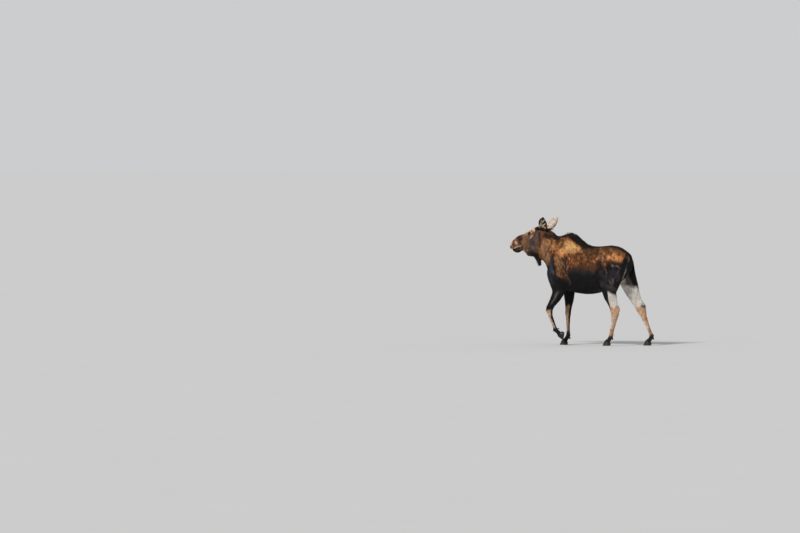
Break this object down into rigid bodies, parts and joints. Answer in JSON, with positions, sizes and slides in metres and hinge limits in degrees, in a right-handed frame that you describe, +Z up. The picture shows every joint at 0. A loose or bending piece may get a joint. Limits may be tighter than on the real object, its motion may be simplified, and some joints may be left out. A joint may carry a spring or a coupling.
{
  "type": "moose",
  "caption": "Life-size cow moose walking, as a still model, with humped shoulders, a long overhanging muzzle, large ears, a short throat bell, long slender legs and cloven hooves.",
  "frame": {"origin": "on the floor, below the middle of the moose's length and width", "axes": "+X towards the rump, so the moose faces -X; +Y to the moose's right side; +Z up"},
  "size_m": [2.3686, 0.55, 2.0699],
  "materials": {
    "coat_body": "thick coarse hair, rusty brown above and near black below",
    "coat_neck": "coarse golden brown hair with a dark mane",
    "coat_head": "short dense tan brown hair",
    "coat_jaw": "grey brown hair over the jaw, dark at the lips",
    "coat_dark": "near black hair",
    "coat_ear": "pale hair inside a dark rim",
    "coat_leg": "short tan hair",
    "coat_leg_pale": "short off-white hair",
    "hoof_horn": "dark horn, worn matt",
    "eye": "wet and dark brown"
  },
  "bodies": {
    "root": {"trunk": "coat_body", "tail": "coat_body", "neck": "coat_neck", "head": "coat_head", "lower_jaw": "coat_jaw", "bell": "coat_dark", "ear_left": "coat_ear", "ear_right": "coat_ear", "eye_left": "eye", "eye_right": "eye", "leg_front_left_upper": "coat_dark", "leg_front_left_lower": "coat_leg", "foot_front_left": "coat_dark", "hoof_front_left_inner": "hoof_horn", "hoof_front_left_outer": "hoof_horn", "dewclaw_front_left_inner": "hoof_horn", "dewclaw_front_left_outer": "hoof_horn", "leg_front_right_upper": "coat_dark", "leg_front_right_lower": "coat_leg", "foot_front_right": "coat_leg", "hoof_front_right_inner": "hoof_horn", "hoof_front_right_outer": "hoof_horn", "dewclaw_front_right_inner": "hoof_horn", "dewclaw_front_right_outer": "hoof_horn", "leg_hind_left_upper": "coat_leg_pale", "leg_hind_left_lower": "coat_leg", "foot_hind_left": "coat_leg", "hoof_hind_left_inner": "hoof_horn", "hoof_hind_left_outer": "hoof_horn", "dewclaw_hind_left_inner": "hoof_horn", "dewclaw_hind_left_outer": "hoof_horn", "leg_hind_right_upper": "coat_leg_pale", "leg_hind_right_lower": "coat_leg", "foot_hind_right": "coat_leg", "hoof_hind_right_inner": "hoof_horn", "hoof_hind_right_outer": "hoof_horn", "dewclaw_hind_right_inner": "hoof_horn", "dewclaw_hind_right_outer": "hoof_horn"}
  },
  "joints": []
}
